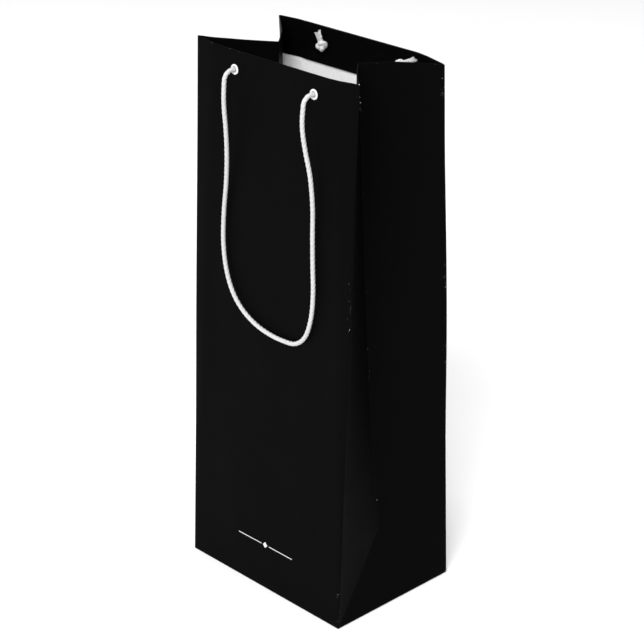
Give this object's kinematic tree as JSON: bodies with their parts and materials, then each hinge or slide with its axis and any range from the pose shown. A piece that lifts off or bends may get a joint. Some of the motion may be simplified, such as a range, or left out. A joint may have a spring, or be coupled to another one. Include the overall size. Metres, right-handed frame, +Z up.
{
  "type": "wine gift bag",
  "caption": "Tall narrow paper bag for one wine bottle, with folded-in sides, a turned-in rim, a loose base card and knotted cord handles.",
  "frame": {"origin": "middle of the base, on the surface that the bag stands on", "axes": "+Z up towards the mouth, -Y the front panel, +X to the right seen from the front"},
  "size_m": [0.138, 0.099, 0.3497],
  "materials": {
    "paper_outside": "matt laminated black",
    "paper_inside": "uncoated white",
    "greyboard": "uncoated greyboard",
    "cord": "twisted white cord",
    "eyelet": "white enamelled"
  },
  "bodies": {
    "base": {"bottom_flap_left": "paper_outside", "bottom_flap_right": "paper_outside", "bottom_flap_front": "paper_outside", "bottom_flap_rear": "paper_outside", "left_base_triangle": "paper_outside", "right_base_triangle": "paper_outside", "left_gusset_front": "paper_outside", "right_gusset_front": "paper_outside", "left_gusset_front_hem": "paper_outside", "right_gusset_front_hem": "paper_outside", "left_gusset_rear": "paper_outside", "right_gusset_rear": "paper_outside", "left_gusset_rear_hem": "paper_outside", "right_gusset_rear_hem": "paper_outside"},
    "front_wall": {"front_panel": "paper_outside", "front_hem": "paper_outside", "front_top_card": "greyboard", "front_left_eyelet": "eyelet", "front_right_eyelet": "eyelet", "front_left_knot": "cord", "front_right_knot": "cord"},
    "rear_wall": {"rear_panel": "paper_outside", "rear_hem": "paper_outside", "rear_top_card": "greyboard", "side_seam_flap": "paper_inside", "rear_left_eyelet": "eyelet", "rear_right_eyelet": "eyelet", "rear_left_knot": "cord", "rear_right_knot": "cord"},
    "front_handle": {"front_handle_cord": "cord"},
    "rear_handle": {"rear_handle_cord": "cord"},
    "loose_card": {"base_card": "greyboard"}
  },
  "joints": [
    {"name": "front_crease", "type": "hinge", "parent": "base", "child": "front_wall", "pos_m": [0, -0.0495, 0], "axis": [-1, 0, 0], "range_deg": [-2.7, 3.5], "stiffness_Nm_per_rad": 0.2, "springref_deg": -0.46, "deforming": ["left_gusset_front", "right_gusset_front", "left_gusset_front_hem", "right_gusset_front_hem"]},
    {"name": "rear_crease", "type": "hinge", "parent": "base", "child": "rear_wall", "pos_m": [0, 0.0495, 0], "axis": [1, 0, 0], "range_deg": [-2.7, 3.5], "stiffness_Nm_per_rad": 0.2, "springref_deg": -0.46, "deforming": ["left_gusset_rear", "right_gusset_rear", "left_gusset_rear_hem", "right_gusset_rear_hem"]},
    {"name": "front_handle_swing", "type": "hinge", "parent": "front_wall", "child": "front_handle", "pos_m": [0, -0.0425, 0.33698], "axis": [-1, 0, 0], "range_deg": [0, 180]},
    {"name": "rear_handle_swing", "type": "hinge", "parent": "rear_wall", "child": "rear_handle", "pos_m": [0, 0.0425, 0.33698], "axis": [1, 0, 0], "range_deg": [0, 180]},
    {"name": "base_card_lift", "type": "slide", "parent": "base", "child": "loose_card", "axis": [0, 0, 1], "range_m": [0, 0.004]}
  ]
}
